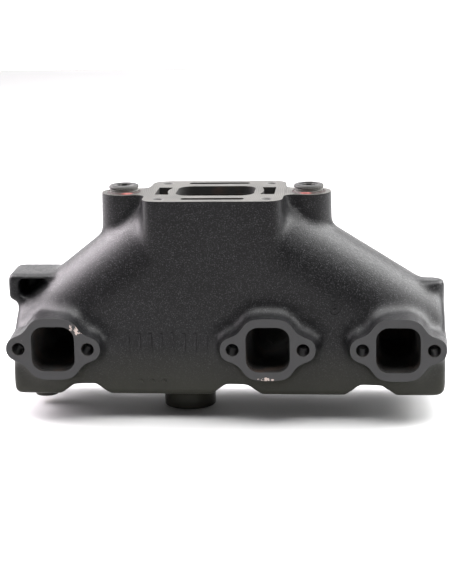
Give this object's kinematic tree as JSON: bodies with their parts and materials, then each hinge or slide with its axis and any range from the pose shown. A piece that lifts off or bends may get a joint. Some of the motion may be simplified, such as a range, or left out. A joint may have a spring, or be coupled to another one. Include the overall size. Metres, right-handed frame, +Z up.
{
  "type": "water-jacketed exhaust manifold",
  "caption": "Water-jacketed cast-iron exhaust manifold: side ports with bolt flanges, sloped arms to a top riser flange, water passages, screw plugs.",
  "frame": {"origin": "middle of the middle port on the plane of the port faces", "axes": "+X along the row of ports towards the short-pitch end, +Y from the port faces into the body, +Z up to the riser face"},
  "size_m": [0.3898, 0.122, 0.2017],
  "materials": {
    "painted_iron": "satin black paint over sand-cast iron, with bare grey machining on the riser face",
    "plug_steel": "black-oxide steel, slightly worn",
    "sealant": "cured red anaerobic thread sealant",
    "brass": "dull turned brass",
    "core_plug_steel": "zinc-plated pressed steel under thin black paint"
  },
  "bodies": {
    "casting": {"casting": "painted_iron", "core_plug_left": "core_plug_steel", "core_plug_right": "core_plug_steel"},
    "sealant_left": {"sealant_left": "sealant"},
    "top_plug_left": {"top_plug_left": "plug_steel"},
    "sealant_right": {"sealant_right": "sealant"},
    "top_plug_right": {"top_plug_right": "plug_steel"},
    "drain_sealant": {"drain_sealant": "sealant"},
    "drain_plug": {"drain_plug": "brass"}
  },
  "joints": [
    {"name": "plug_left_turn", "type": "hinge", "parent": "casting", "child": "sealant_left", "pos_m": [-0.13, 0.069, 0.1262], "axis": [0, 0, 1], "range_deg": [0, 3600]},
    {"name": "plug_left_rise", "type": "slide", "parent": "sealant_left", "child": "top_plug_left", "axis": [0, 0, 1], "range_m": [0, 0.01815]},
    {"name": "plug_right_turn", "type": "hinge", "parent": "casting", "child": "sealant_right", "pos_m": [0.034, 0.069, 0.1262], "axis": [0, 0, 1], "range_deg": [0, 3600]},
    {"name": "plug_right_rise", "type": "slide", "parent": "sealant_right", "child": "top_plug_right", "axis": [0, 0, 1], "range_m": [0, 0.01815]},
    {"name": "drain_plug_turn", "type": "hinge", "parent": "casting", "child": "drain_sealant", "pos_m": [-0.208, 0.069, -0.0615], "axis": [0, 0, -1], "range_deg": [0, 2520]},
    {"name": "drain_plug_drop", "type": "slide", "parent": "drain_sealant", "child": "drain_plug", "axis": [0, 0, -1], "range_m": [0, 0.00988]}
  ],
  "couplings": [
    {"joint": "plug_left_rise", "follows": "plug_left_turn", "m_per_rad": 0.00028871},
    {"joint": "plug_right_rise", "follows": "plug_right_turn", "m_per_rad": 0.00028871},
    {"joint": "drain_plug_drop", "follows": "drain_plug_turn", "m_per_rad": 0.00022457}
  ]
}
